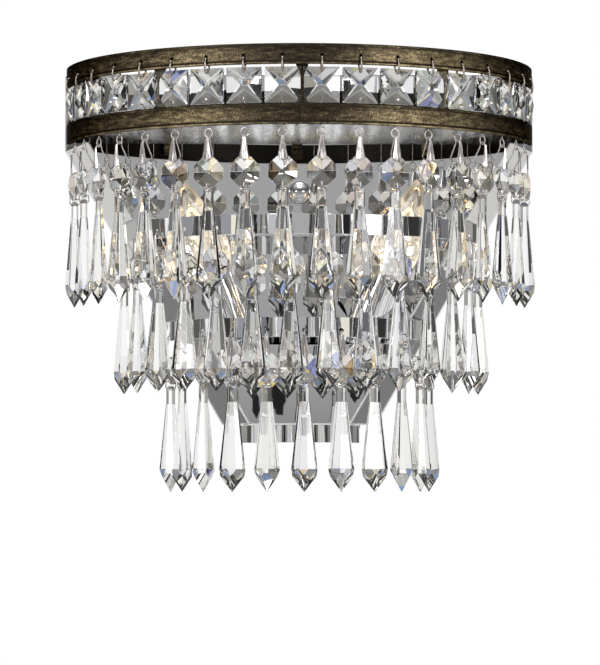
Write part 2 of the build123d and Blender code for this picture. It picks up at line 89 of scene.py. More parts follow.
softPanels = {
    "leftPanel": {"place": (-1.5, -1.9, 0.7), "width": 0.9, "watts": 17.0},
    "rightPanel": {"place": (1.6, -1.8, 0.5), "width": 0.9, "watts": 14.0},
    "topPanel": {"place": (0.0, -0.9, 1.8), "width": 1.2, "watts": 15.0},
}
panelAim = (0, 0, -0.05)


def addNode(tree, kind, **values):
    node = tree.nodes.new(kind)
    for name, value in values.items():
        if name in node.inputs:
            node.inputs[name].default_value = value
        else:
            setattr(node, name, value)
    return node


def mathNode(tree, operation, first, second=0.0):
    node = tree.nodes.new("ShaderNodeMath")
    node.operation = operation
    for socket, value in ((0, first), (1, second)):
        if isinstance(value, (int, float)):
            node.inputs[socket].default_value = value
        else:
            tree.links.new(value, node.inputs[socket])
    return node.outputs[0]


def centredShare(tree, value, whole):
    # 0 to 1 for a value from minus half to plus half of a whole
    return mathNode(tree, "ADD", mathNode(tree, "DIVIDE", value, whole), 0.5)


def rampNode(tree, source, stops, interpolation="LINEAR"):
    node = tree.nodes.new("ShaderNodeValToRGB")
    node.color_ramp.interpolation = interpolation
    while len(node.color_ramp.elements) < len(stops):
        node.color_ramp.elements.new(0.5)
    for element, (position, colour) in zip(node.color_ramp.elements, stops):
        element.position = position
        element.color = (*colour, 1.0)
    tree.links.new(source, node.inputs[0])
    return node.outputs[0]


def grey(value, warmth=0.0):
    return (value * (1 + 0.05 * warmth), value, value * (1 - 0.14 * warmth))


def greyStops(stops):
    return [(at, grey(tone)) for at, tone in stops]


def mixColours(tree, factor, first, second, blend="MIX"):
    node = addNode(tree, "ShaderNodeMix", data_type="RGBA", blend_type=blend)
    for socket, value in ((0, factor), (6, first), (7, second)):
        if isinstance(value, (int, float)):
            node.inputs[socket].default_value = value
        elif isinstance(value, tuple):
            node.inputs[socket].default_value = (*value, 1.0)
        else:
            tree.links.new(value, node.inputs[socket])
    return node.outputs[2]


def objectCoordinates(tree):
    return addNode(tree, "ShaderNodeTexCoord").outputs["Object"]


def splitAxes(tree, vector):
    axes = addNode(tree, "ShaderNodeSeparateXYZ")
    tree.links.new(vector, axes.inputs[0])
    return axes.outputs


def bearingNode(tree, axes):
    # 0 in front, + to the right, in radians
    return mathNode(tree, "ARCTAN2", axes["X"], mathNode(tree, "MULTIPLY", axes["Y"], -1.0))


def noiseNode(tree, vector, scale, detail=3.0, roughness=0.5):
    node = addNode(tree, "ShaderNodeTexNoise", Scale=scale, Detail=detail, Roughness=roughness)
    tree.links.new(vector, node.inputs["Vector"])
    return node.outputs["Fac"]


def makeCamera():
    camera = bpy.data.objects.new("camera", bpy.data.cameras.new("camera"))
    bpy.context.scene.collection.objects.link(camera)
    camera.location = cameraSetup["place"]
    camera.rotation_euler = (radians(90 + cameraSetup["tilt"]), 0, -radians(cameraSetup["turn"]))
    camera.data.lens = cameraSetup["lens"]
    camera.data.sensor_width = cameraSetup["filmWidth"]
    camera.data.clip_start = cameraSetup["nearest"]
    bpy.context.scene.camera = camera


def insideShape(tree, bearing, height, ragged, middle, level, halfWidth, halfHeight):
    # 1 inside an upright oval with a ragged edge
    sideways = mathNode(tree, "SUBTRACT", bearing, radians(middle))
    across = mathNode(tree, "DIVIDE", sideways, radians(halfWidth))
    upright = mathNode(tree, "DIVIDE", mathNode(tree, "SUBTRACT", height, level), halfHeight)
    reach = mathNode(tree, "ADD", mathNode(tree, "POWER", across, 2.0), mathNode(tree, "POWER", upright, 2.0))
    fringe = mathNode(tree, "MULTIPLY", ragged, studio["shapeRaggedness"])
    return mathNode(tree, "LESS_THAN", mathNode(tree, "ADD", reach, fringe), 1.0)


def makeWorld():
    # bright panels and dark gaps in front of the light, a white backdrop behind it
    world = bpy.data.worlds.new("studio")
    bpy.context.scene.world = world
    world.use_nodes = True
    tree = world.node_tree
    tree.nodes.clear()
    direction = addNode(tree, "ShaderNodeTexCoord").outputs["Generated"]
    axes = splitAxes(tree, direction)
    bearing = bearingNode(tree, axes)
    panels = rampNode(tree, centredShare(tree, bearing, 2 * pi), [
        ((begin + 180) / 360, grey(tone, warmth)) for begin, tone, warmth in studio["panels"]], "CONSTANT")
    upwards = centredShare(tree, axes["Z"], 2.0)
    heights = rampNode(tree, upwards, [
        ((begin + 1) / 2, grey(tone, warmth)) for begin, tone, warmth in studio["heights"]], "CONSTANT")
    offLevel = rampNode(tree, upwards, greyStops(studio["offLevel"]))
    dusk = rampNode(tree, upwards, greyStops(studio["dusk"]))
    level = mixColours(tree, 1.0, panels, dusk, "MULTIPLY")
    ragged = mathNode(tree, "SUBTRACT", noiseNode(tree, direction, studio["shapeGrain"]), 0.5)
    for shape in studio["darkShapes"]:
        inside = insideShape(tree, bearing, axes["Z"], ragged, *shape)
        level = mixColours(tree, inside, level, grey(studio["shapeTone"]))
    above = mixColours(tree, offLevel, level, heights)
    rear = rampNode(tree, centredShare(tree, axes["Y"], 2.0), greyStops(studio["rear"]))
    low = mathNode(tree, "LESS_THAN", axes["Z"], studio["backdropTop"])
    behind = mixColours(tree, mathNode(tree, "MULTIPLY", rear, low), above, studio["backdrop"])
    path = addNode(tree, "ShaderNodeLightPath")
    plain = mixColours(tree, path.outputs["Is Camera Ray"], behind, studio["backdrop"])
    background = addNode(tree, "ShaderNodeBackground")
    tree.links.new(plain, background.inputs["Color"])
    output = addNode(tree, "ShaderNodeOutputWorld")
    tree.links.new(background.outputs[0], output.inputs[0])


def paperFinish():
    # the paper behind the light is lit from below, strips of the table before it are bright or dark
    material = bpy.data.materials.new("paleFloor")
    material.use_nodes = True
    tree = material.node_tree
    tree.nodes.clear()
    diffuse = addNode(tree, "ShaderNodeBsdfDiffuse")
    glow = addNode(tree, "ShaderNodeEmission", Color=(1.0, 1.0, 1.0, 1.0), Strength=floorPaper["glow"])
    rays = addNode(tree, "ShaderNodeLightPath").outputs
    axes = splitAxes(tree, objectCoordinates(tree))
    distance = centredShare(tree, axes["Y"], 2 * floorPaper["reach"])
    paper = rampNode(tree, distance, greyStops(floorPaper["brightness"]))
    seenThrough = mathNode(tree, "MAXIMUM", rays["Is Transmission Ray"], rays["Is Glossy Ray"])
    shown = mathNode(tree, "MAXIMUM", rays["Is Camera Ray"], mathNode(tree, "MULTIPLY", seenThrough, paper))
    # polished metal mirrors a dark cloth on each side
    cloth = rays["Is Glossy Ray"]
    aside = mathNode(tree, "ABSOLUTE", axes["X"])
    for reach, (begin, end) in ((aside, floorPaper["clothAside"]), (axes["Y"], floorPaper["clothBack"])):
        cloth = mathNode(tree, "MULTIPLY", cloth, mathNode(tree, "GREATER_THAN", reach, begin))
        cloth = mathNode(tree, "MULTIPLY", cloth, mathNode(tree, "LESS_THAN", reach, end))
    tone = mixColours(tree, cloth, grey(floorPaper["tone"]), grey(floorPaper["clothTone"]))
    tree.links.new(tone, diffuse.inputs["Color"])
    mix = addNode(tree, "ShaderNodeMixShader")
    tree.links.new(mathNode(tree, "MULTIPLY", shown, floorPaper["glowShare"]), mix.inputs[0])
    tree.links.new(diffuse.outputs[0], mix.inputs[1])
    tree.links.new(glow.outputs[0], mix.inputs[2])
    output = addNode(tree, "ShaderNodeOutputMaterial")
    tree.links.new(mix.outputs[0], output.inputs[0])
    return material


def makeFloor():
    bm = bmesh.new()
    bmesh.ops.create_grid(bm, x_segments=1, y_segments=1, size=floorPaper["size"],
                          matrix=Matrix.Translation((0, 0, floorPaper["level"])))
    mesh = bpy.data.meshes.new("floor")
    bm.to_mesh(mesh)
    bm.free()
    floor = bpy.data.objects.new("floor", mesh)
    bpy.context.scene.collection.objects.link(floor)
    floor.data.materials.append(paperFinish())


def makeLamps():
    # two soft panels in front and one above
    for name, setup in softPanels.items():
        lamp = bpy.data.lights.new(name, "AREA")
        lamp.size = setup["width"]
        lamp.energy = setup["watts"]
        panel = bpy.data.objects.new(name, lamp)
        panel.location = setup["place"]
        panel.rotation_euler = (Vector(panelAim) - Vector(setup["place"])).to_track_quat("-Z", "Y").to_euler()
        panel.visible_transmission = False      # the crystals show the room instead
        bpy.context.scene.collection.objects.link(panel)


makeCamera()
makeWorld()
makeFloor()
makeLamps()
bpy.context.scene.view_settings.view_transform = "Standard"
print("studio ready")


# finishes
def startMaterial(name, **sockets):
    material = bpy.data.materials.new(name)
    material.use_nodes = True
    tree = material.node_tree
    tree.nodes.clear()
    shader = addNode(tree, "ShaderNodeBsdfPrincipled", **sockets)
    output = addNode(tree, "ShaderNodeOutputMaterial")
    tree.links.new(shader.outputs[0], output.inputs[0])
    return material, tree, shader


def addBump(tree, shader, height, distance, strength, crease=0.0):
    bump = addNode(tree, "ShaderNodeBump", Strength=strength, Distance=distance)
    tree.links.new(height, bump.inputs["Height"])
    if crease:
        rounded = addNode(tree, "ShaderNodeBevel", samples=8, Radius=crease)
        tree.links.new(rounded.outputs[0], bump.inputs["Normal"])
    tree.links.new(bump.outputs[0], shader.inputs["Normal"])


bronze = {
    "paintedShadeBlack": (0.030, 0.027, 0.023),
    # how far it is rubbed through where it is dark, brown and gold
    "tints": [(0.08, (0.030, 0.024, 0.017)), (0.40, (0.110, 0.084, 0.050)), (0.78, (0.480, 0.390, 0.220))],
    "edgeShine": (0.10, 0.08, 0.06),
    # painted light from the lower edge (0) to the upper edge (1): a painted highlight line along the lower
    # edge, painted shade in the two grooves, darker towards the upper edge
    "profile": [(0.0, 0.30), (0.07, 0.42), (0.10, -0.75), (0.16, -0.75), (0.20, 0.10), (0.55, 0.08),
                (0.80, -0.18), (0.86, -0.50), (0.90, -0.10), (1.0, -0.45)],
    # how far each bearing is rubbed through, its lighter stretches partly painted highlight, 0 = left end, 1
    # = right end
    "wearAndHighlight": [(0.0, 0.0), (0.10, 0.12), (0.20, 0.55), (0.33, 0.72), (0.43, 0.30), (0.53, 0.26),
                (0.62, 0.60), (0.72, 0.80), (0.84, 0.34), (1.0, 0.04)],
    "wearAndHighlightWeight": 0.62, "smearWeight": 1.15, "grainWeight": 1.15, "paintedLinesWeight": 1.1,
    # smears are drawn out along the band, the grain is even
    "smearsAlong": 12.0, "smearsUp": 320.0, "smearScale": 1.5, "grainScale": 1150.0,
    "smooth": 0.30, "rougher": 0.25, "grainRelief": 0.6, "relief": 0.00008, "reliefStrength": 0.5,
}


def rubbedBronze(name, level, halfHeight, paintedShadeRadius):
    # dark bronze rubbed through to gold in fine speckles, with a painted highlight line along the lower edge,
    # painted shade in the grooves and painted highlight at some bearings
    material, tree, shader = startMaterial(name, Metallic=1.0, Roughness=0.42,
                                           **{"Specular Tint": (*bronze["edgeShine"], 1.0)})
    place = objectCoordinates(tree)
    axes = splitAxes(tree, place)
    bearing = bearingNode(tree, axes)
    height = mathNode(tree, "SUBTRACT", axes["Z"], level)
    smearPlace = addNode(tree, "ShaderNodeCombineXYZ")
    tree.links.new(mathNode(tree, "MULTIPLY", bearing, bronze["smearsAlong"]), smearPlace.inputs[0])
    tree.links.new(mathNode(tree, "MULTIPLY", height, bronze["smearsUp"]), smearPlace.inputs[1])
    smears = noiseNode(tree, smearPlace.outputs[0], bronze["smearScale"], detail=4.0, roughness=0.6)
    grain = noiseNode(tree, place, bronze["grainScale"], detail=2.0, roughness=0.7)
    # wear and painted highlight along the band
    wearAndHighlight = rampNode(tree, centredShare(tree, bearing, pi), greyStops(bronze["wearAndHighlight"]))
    rise = centredShare(tree, height, 2 * halfHeight)
    # painted highlight and groove shade across the band's height
    paintedEdgeLines = rampNode(tree, rise, [(at, grey(0.5 + 0.5 * value)) for at, value in bronze["profile"]])
    wearAndPaintedLight = mathNode(tree, "MULTIPLY", wearAndHighlight, bronze["wearAndHighlightWeight"])
    for source, weight in ((smears, "smearWeight"), (grain, "grainWeight"), (paintedEdgeLines, "paintedLinesWeight")):
        extra = mathNode(tree, "MULTIPLY", mathNode(tree, "SUBTRACT", source, 0.5), bronze[weight])
        wearAndPaintedLight = mathNode(tree, "ADD", wearAndPaintedLight, extra)
    tint = rampNode(tree, wearAndPaintedLight, bronze["tints"])
    squared = [mathNode(tree, "MULTIPLY", axes[axis], axes[axis]) for axis in ("X", "Y")]
    radius = mathNode(tree, "SQRT", mathNode(tree, "ADD", *squared))
    # the inner faces are painted black, as shade
    outer = mathNode(tree, "GREATER_THAN", radius, paintedShadeRadius)
    tree.links.new(mixColours(tree, outer, bronze["paintedShadeBlack"], tint), shader.inputs["Base Color"])
    rough = mathNode(tree, "ADD", bronze["smooth"], mathNode(tree, "MULTIPLY", smears, bronze["rougher"]))
    tree.links.new(rough, shader.inputs["Roughness"])
    surface = mathNode(tree, "ADD", smears, mathNode(tree, "MULTIPLY", grain, bronze["grainRelief"]))
    addBump(tree, shader, surface, bronze["relief"], bronze["reliefStrength"])
    return material


chrome = {"hazeScale": 38.0, "hazeTone": 0.94, "fineScale": 420.0, "fineStrength": 0.3, "stripBlur": 0.20}


def polishedChrome(name, tint, smear, ripple, dullStrip=None, crease=0.0):
    # plated metal with the faintest polishing haze, duller between two heights, creases slightly round
    material, tree, shader = startMaterial(name, Metallic=1.0, Roughness=0.04)
    place = objectCoordinates(tree)
    haze = noiseNode(tree, place, chrome["hazeScale"], detail=4.0, roughness=0.6)
    fine = noiseNode(tree, place, chrome["fineScale"], detail=2.0)
    hazy = tuple(chrome["hazeTone"] * c for c in tint)
    tree.links.new(mixColours(tree, haze, hazy, tint), shader.inputs["Base Color"])
    blur = mathNode(tree, "ADD", smear, mathNode(tree, "MULTIPLY", haze, smear))
    if dullStrip:
        height = splitAxes(tree, place)["Z"]
        dull = mathNode(tree, "MULTIPLY", mathNode(tree, "GREATER_THAN", height, dullStrip[0]),
                        mathNode(tree, "LESS_THAN", height, dullStrip[1]))
        extra = mathNode(tree, "MULTIPLY", dull, mathNode(tree, "MULTIPLY", fine, chrome["stripBlur"]))
        blur = mathNode(tree, "ADD", blur, extra)
    tree.links.new(blur, shader.inputs["Roughness"])
    addBump(tree, shader, fine, ripple, chrome["fineStrength"], crease)
    return material


leadGlass = {"refraction": 1.58, "cloud": (0.90, 0.92, 0.94), "cloudScale": 60.0, "cloudShare": 0.04}


def cutCrystal(name):
    # clear lead crystal, each facet painted by its own attribute with a colour that stands in for dispersed
    # light, a painted glint
    material, tree, shader = startMaterial(
        name, Roughness=0.0, IOR=leadGlass["refraction"], **{"Transmission Weight": 1.0})
    tint = addNode(tree, "ShaderNodeAttribute", attribute_name="facetTint")
    clouds = noiseNode(tree, objectCoordinates(tree), leadGlass["cloudScale"], detail=1.0)
    share = mathNode(tree, "MULTIPLY", clouds, leadGlass["cloudShare"])
    clouded = mixColours(tree, share, tint.outputs["Color"], leadGlass["cloud"])
    tree.links.new(clouded, shader.inputs["Base Color"])
    return material


bareWire = {"spotScale": 260.0, "spotTone": 0.55, "grainScale": 1500.0,
            "relief": 0.00002, "reliefStrength": 0.4}


def drawnWire(name, tint, roughness):
    material, tree, shader = startMaterial(name, Metallic=1.0, Roughness=roughness)
    place = objectCoordinates(tree)
    spots = noiseNode(tree, place, bareWire["spotScale"])
    spotted = tuple(bareWire["spotTone"] * c for c in tint)
    tree.links.new(mixColours(tree, spots, spotted, tint), shader.inputs["Base Color"])
    grain = noiseNode(tree, place, bareWire["grainScale"])
    addBump(tree, shader, grain, bareWire["relief"], bareWire["reliefStrength"])
    return material


hotWire = {"hot": (1.0, 0.72, 0.36), "plain": (1.0, 0.62, 0.26), "cooler": (1.0, 0.55, 0.20),
           "strength": 26.0, "shadeScale": 300.0}


def glowingWire(name):
    material, tree, shader = startMaterial(name, Roughness=0.4, **{
        "Base Color": (*hotWire["hot"], 1.0), "Emission Color": (*hotWire["plain"], 1.0),
        "Emission Strength": hotWire["strength"]})
    shade = noiseNode(tree, objectCoordinates(tree), hotWire["shadeScale"])
    glow = mixColours(tree, shade, hotWire["cooler"], hotWire["hot"])
    tree.links.new(glow, shader.inputs["Emission Color"])
    return material


bulbFinish = {
    "refraction": 1.45, "dusty": (0.98, 0.96, 0.92), "clear": (1.0, 0.99, 0.97), "dustScale": 90.0,
    # the glow rises from the first strength at the first height to the second at the second, in metres
    "glowColour": (1.0, 0.86, 0.64), "glowLevels": (-0.026, -0.050), "glowStrengths": (0.012, 0.20),
}


def bulbGlass(name):
    # clear at the tip, with the light gathered in the lower part
    material, tree, shader = startMaterial(
        name, Roughness=0.0, IOR=bulbFinish["refraction"],
        **{"Transmission Weight": 1.0, "Emission Color": (*bulbFinish["glowColour"], 1.0)})
    place = objectCoordinates(tree)
    (fromMin, fromMax), (toMin, toMax) = bulbFinish["glowLevels"], bulbFinish["glowStrengths"]
    glow = addNode(tree, "ShaderNodeMapRange", clamp=True, **{
        "From Min": fromMin, "From Max": fromMax, "To Min": toMin, "To Max": toMax})
    tree.links.new(splitAxes(tree, place)["Z"], glow.inputs["Value"])
    tree.links.new(glow.outputs["Result"], shader.inputs["Emission Strength"])
    dust = noiseNode(tree, place, bulbFinish["dustScale"])
    tint = mixColours(tree, dust, bulbFinish["dusty"], bulbFinish["clear"])
    tree.links.new(tint, shader.inputs["Base Color"])
    return material


zinc = {"spangleScale": 110.0, "spangles": [(0.35, (0.38, 0.38, 0.37)), (0.65, (0.66, 0.66, 0.64))],
        "smooth": 0.28, "rougher": 0.25, "relief": 0.00002, "reliefStrength": 0.3}


def zincSteel(name):
    material, tree, shader = startMaterial(name, Metallic=0.9, Roughness=0.4)
    spangle = noiseNode(tree, objectCoordinates(tree), zinc["spangleScale"], detail=4.0)
    tree.links.new(rampNode(tree, spangle, zinc["spangles"]), shader.inputs["Base Color"])
    rough = mathNode(tree, "ADD", zinc["smooth"], mathNode(tree, "MULTIPLY", spangle, zinc["rougher"]))
    tree.links.new(rough, shader.inputs["Roughness"])
    addBump(tree, shader, spangle, zinc["relief"], zinc["reliefStrength"])
    return material


plastic = {"darker": (0.76, 0.74, 0.69), "lighter": (0.82, 0.80, 0.75), "grainScale": 700.0,
           "relief": 0.00003, "reliefStrength": 0.4}


def mouldedPlastic(name):
    material, tree, shader = startMaterial(name, Roughness=0.5)
    grain = noiseNode(tree, objectCoordinates(tree), plastic["grainScale"])
    tint = mixColours(tree, grain, plastic["darker"], plastic["lighter"])
    tree.links.new(tint, shader.inputs["Base Color"])
    addBump(tree, shader, grain, plastic["relief"], plastic["reliefStrength"])
    return material


# smear, ripple, strip and crease: how blurred the mirror is, how high its waves are in metres, between
# which heights it is duller, and how far its creases are rounded
finishes = {
    "plateChrome": polishedChrome("plateChrome", (0.80, 0.80, 0.805), smear=0.004, ripple=0.0000003,
                                  dullStrip=(0.0318, 0.0446), crease=0.0022),
    "ringChrome": polishedChrome("ringChrome", (0.88, 0.885, 0.90), smear=0.015, ripple=0.000004),
    # the cap nut takes the same chrome painted darker, as painted shade
    "nutChrome": polishedChrome("nutChrome", (0.58, 0.58, 0.59), smear=0.015, ripple=0.000002),
    "crystal": cutCrystal("crystal"),
    "clipWire": drawnWire("clipWire", (0.82, 0.78, 0.77), roughness=0.20),
    "hookWire": drawnWire("hookWire", (0.44, 0.39, 0.34), roughness=0.24),
    "filament": glowingWire("filament"),
    "bulbGlass": bulbGlass("bulbGlass"),
    "zincSteel": zincSteel("zincSteel"),
    "holderPlastic": mouldedPlastic("holderPlastic"),
}
print("finishes ready")


# making and placing meshes
def ringPlace(angle, radius, level):
    # on a half ring: local -Y points outwards, local X runs along the ring
    turn = Matrix.Rotation(radians(angle), 4, "Z")
    return Matrix.Translation((0, 0, level)) @ turn @ Matrix.Translation((0, -radius, 0))


def addMesh(bm, source, place=None):
    # put a copy of a mesh or bmesh into bm, moved to its place
    if isinstance(source, bmesh.types.BMesh):
        mesh = bpy.data.meshes.new("part")
        source.to_mesh(mesh)
    else:
        mesh = source.copy()
    if place is not None:
        mesh.transform(place)
    bm.from_mesh(mesh)
    bpy.data.meshes.remove(mesh)


def finishPiece(name, bm, material, body, nodes=(), smoothAngle=None):
    bmesh.ops.recalc_face_normals(bm, faces=bm.faces)
    bm.transform(Matrix.Scale(mm, 4))
    mesh = bpy.data.meshes.new(name)
    bm.to_mesh(mesh)
    bm.free()
    piece = bpy.data.objects.new(name, mesh)
    bpy.context.scene.collection.objects.link(piece)
    if smoothAngle is not None:
        mesh.polygons.foreach_set("use_smooth", [True] * len(mesh.polygons))
        mesh.set_sharp_from_angle(angle=radians(smoothAngle))
    mesh.materials.append(finishes[material])
    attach(piece, body)
    if nodes:
        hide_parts(*nodes)
    return piece


def wireMesh(points, thickness, closed=False, resolution=5, roundness=3):
    # a bent wire along a smooth line through its corners
    curve = bpy.data.curves.new("wire", "CURVE")
    curve.dimensions = "3D"
    curve.resolution_u = resolution
    curve.bevel_depth = thickness / 2
    curve.bevel_resolution = roundness
    curve.use_fill_caps = True
    spline = curve.splines.new("NURBS")
    spline.points.add(len(points) - 1)
    for point, place in zip(spline.points, points):
        point.co = (*place, 1.0)
    spline.use_cyclic_u = closed
    spline.order_u = 3
    spline.use_endpoint_u = not closed
    holder = bpy.data.objects.new("wire", curve)
    mesh = bpy.data.meshes.new_from_object(holder)
    bpy.data.objects.remove(holder)
    bpy.data.curves.remove(curve)
    return mesh


def spinProfile(profile, steps, sweep=360.0, start=0.0, closed=False):
    # turn an outline of (radius, height) corners about the upright axis
    bm = bmesh.new()
    verts = [bm.verts.new((0, -r, z)) for r, z in profile]
    edges = [bm.edges.new(pair) for pair in zip(verts, verts[1:])]
    if closed:
        edges.append(bm.edges.new((verts[-1], verts[0])))
    if start:
        bmesh.ops.rotate(bm, verts=bm.verts, cent=(0, 0, 0), matrix=Matrix.Rotation(radians(start), 3, "Z"))
    bmesh.ops.spin(bm, geom=verts + edges, cent=(0, 0, 0), axis=(0, 0, 1),
                   angle=radians(sweep), steps=steps, use_merge=sweep >= 360.0)
    bmesh.ops.remove_doubles(bm, verts=bm.verts, dist=touching)
    return bm


def cutAway(bm, cutter):
    # boolean difference of two closed bmeshes
    parts = []
    for source in (bm, cutter):
        bmesh.ops.recalc_face_normals(source, faces=source.faces)
        mesh = bpy.data.meshes.new("solid")
        source.to_mesh(mesh)
        source.free()
        part = bpy.data.objects.new("solid", mesh)
        bpy.context.scene.collection.objects.link(part)
        parts.append(part)
    cut = parts[0].modifiers.new("cut", "BOOLEAN")
    cut.operation = "DIFFERENCE"
    cut.solver = "EXACT"
    cut.object = parts[1]
    result = bmesh.new()
    result.from_object(parts[0], bpy.context.evaluated_depsgraph_get())
    for part in parts:
        mesh = part.data
        bpy.data.objects.remove(part)
        bpy.data.meshes.remove(mesh)
    return result


def drills(places, radius, length, sides):
    # round cutters through these places, along local Y
    bm = bmesh.new()
    for place in places:
        bmesh.ops.create_cone(bm, cap_ends=True, segments=sides, radius1=radius, radius2=radius,
                              depth=length, matrix=place @ Matrix.Rotation(pi / 2, 4, "X"))
    return bm


def spread(count, pitch, twist=0.0):
    return [twist + pitch * (i - (count - 1) / 2) for i in range(count)]


# the rows of strands: bearings in degrees, radius and level of the pivots
tiers = {
    "upper": {"angles": spread(18, 9.1), "radius": 148.6, "level": 23.85},
    "middle": {"angles": spread(14, 11.6, 2.4), "radius": 118.0, "level": -31.9},
    "lower": {"angles": spread(11, 16.0, 1.5), "radius": 85.0, "level": -94.4},
}

# bronze bands
bands = {
    "outer": 152.4, "inner": 149.4, "height": 12.7, "edge": 0.55, "steps": 132, "setback": 18.0,
    "paintedShadeRadius": 150.8,                     # what lies nearer the axis is painted black, as shade
    # the holes stop short of the inner face by a skin, so that no white shows through them
    "holeLevel": 73.6, "holeRadius": 1.3, "holeSkin": 0.7, "holeSides": 20,
    "grooveHeights": (1.75, 11.2), "grooveWidth": 0.9, "grooveDepth": 0.32,
    "lap": 1.0, "tongueBack": 1.5, "tongueThickness": 1.5, "tongueHeight": 8.0,
    "pieces": {
        "top_band": {"name": "bronzeTopBand", "finish": "topBronze", "bottom": 68.3},
        "lower_band": {"name": "bronzeLowerBand", "finish": "lowerBronze", "bottom": 31.3},
    },
}


def halfRing(outer, inner, bottom, height, setback, edge, steps, grooves=()):
    # a half hoop, edges rounded, ends at the setback from the wall
    reach = 90.0 - degrees(asin(setback / outer))
    profile = [(outer, bottom)]
    for level in grooves:
        for share in (-1, 0, 1):
            profile.append((outer - (0 if share else bands["grooveDepth"]),
                            bottom + level + share * bands["grooveWidth"] / 2))
    profile += [(outer, bottom + height), (inner, bottom + height), (inner, bottom)]
    bm = spinProfile(profile, steps, sweep=2 * reach, start=-reach, closed=True)
    ends = [e for e in bm.edges if e.is_boundary]
    bmesh.ops.holes_fill(bm, edges=ends, sides=0)
    bmesh.ops.recalc_face_normals(bm, faces=bm.faces)
    sharpFrom = radians(60)      # right-angled edges and the bottoms of the grooves
    sharp = [e for e in bm.edges if len(e.link_faces) == 2 and e.calc_face_angle() > sharpFrom]
    bmesh.ops.bevel(bm, geom=sharp, offset=edge, offset_type="OFFSET", segments=2,
                    profile=0.5, affect="EDGES", material=-1, clamp_overlap=True)
    return bm


def endTongues(bm, x, front, back, thickness, bottom, height):
    # a flat tongue at each end, between two distances from the wall
    for side in (1, -1):
        middle = Matrix.Translation((side * x, -(front + back) / 2, bottom + height / 2))
        size = Matrix.Diagonal((thickness, front - back, height, 1))
        bmesh.ops.create_cube(bm, size=1.0, matrix=middle @ size)


bandMiddle = (bands["outer"] + bands["inner"]) / 2
bandEnd = sqrt(bandMiddle ** 2 - bands["setback"] ** 2)
for node, band in bands["pieces"].items():
    finishes[band["finish"]] = rubbedBronze(band["finish"], (band["bottom"] + bands["height"] / 2) * mm,
                                            bands["height"] / 2 * mm, bands["paintedShadeRadius"] * mm)
    hoop = halfRing(bands["outer"], bands["inner"], band["bottom"], bands["height"], bands["setback"],
                    bands["edge"], bands["steps"], bands["grooveHeights"])
    if node == "top_band":
        holes = [ringPlace(a, bands["outer"] + bands["holeSkin"], bands["holeLevel"])
                 for a in tiers["upper"]["angles"]]
        drillLength = 2 * (bands["outer"] - bands["inner"])
        hoop = cutAway(hoop, drills(holes, bands["holeRadius"], drillLength, bands["holeSides"]))
    endTongues(hoop, bandEnd, bands["setback"] + bands["lap"], bands["tongueBack"], bands["tongueThickness"],
               band["bottom"] + (bands["height"] - bands["tongueHeight"]) / 2, bands["tongueHeight"])
    finishPiece(band["name"], hoop, band["finish"], fixture, nodes=[node], smoothAngle=15)
print("bands made")

# chrome rings
ringCut = {"halfWall": 0.75, "edge": 0.25, "holeDrop": 8.3, "holeRadius": 1.5, "drillLength": 6.0,
           "holeSides": 20, "tabThickness": 1.5}
rings = {
    # a tab's front and back are measured from the wall, its drop from the top of the ring to its foot
    "middle_ring": {"name": "chromeMiddleRing", "radius": tiers["middle"]["radius"], "top": -21.0,
                    "height": 12.7, "setback": 8.4, "steps": 120, "tier": "middle",
                    "tab": {"front": 9.4, "back": 0.8, "drop": 6.0, "height": 5.5}},
    "lower_ring": {"name": "chromeLowerRing", "radius": tiers["lower"]["radius"], "top": -83.5,
                   "height": 12.7, "setback": 5.0, "steps": 100, "tier": "lower",
                   "tab": {"front": 6.0, "back": 0.8, "drop": 4.0, "height": 3.5}},
    "bottom_ring": {"name": "chromeBottomRing", "radius": 39.0, "top": -150.6,
                    "height": 11.5, "setback": 3.0, "steps": 72, "tier": None,
                    "tab": {"front": 8.0, "back": 3.0, "drop": 1.65, "height": 6.9}},
}
for node, ring in rings.items():
    outer, inner = ring["radius"] + ringCut["halfWall"], ring["radius"] - ringCut["halfWall"]
    hoop = halfRing(outer, inner, ring["top"] - ring["height"], ring["height"], ring["setback"],
                    ringCut["edge"], ring["steps"])
    if ring["tier"]:
        holes = [ringPlace(a, ring["radius"], ring["top"] - ringCut["holeDrop"])
                 for a in tiers[ring["tier"]]["angles"]]
        cutters = drills(holes, ringCut["holeRadius"], ringCut["drillLength"], ringCut["holeSides"])
        hoop = cutAway(hoop, cutters)
    tab = ring["tab"]
    endTongues(hoop, sqrt(ring["radius"] ** 2 - ring["setback"] ** 2), tab["front"], tab["back"],
               ringCut["tabThickness"], ring["top"] - tab["drop"], tab["height"])
    finishPiece(ring["name"], hoop, "ringChrome", fixture, nodes=[node], smoothAngle=15)
print("rings made")


# cut crystals
crystalCut = {
    "squareSide": 22.0, "squareDepth": 8.0, "squareGirdle": 2.0, "squareLevel": 55.575,
    "squareRadius": bandMiddle, "squareHole": 8.2, "kiteReach": 2.3,
    "octagonWidth": 18.0, "octagonDepth": 9.0, "octagonGirdle": 2.0, "octagonDrop": 21.0,
    "octagonHole": 7.0, "ridgeFlat": 0.12, "ridgeAngle": 20,
    "icicleTop": 30.7, "neckWidth": 6.2, "neckHeight": 11.8, "neckCrown": 0.62, "neckCrownHeight": 1.5,
    "shoulderWidth": 6.8, "bodyHeight": 42.5, "bodyWidth": 15.7, "pointHeight": 14.4, "icicleHole": 32.8,
    "depthRatio": 0.8, "facetShare": 0.48, "edgeFlat": 0.16,
    "holeRadius": 0.85, "holeSides": 12, "drillLength": 14.0, "neckDrillLength": 12.0,
    "flatWithin": 0.6,      # degrees within which two facets are one
}


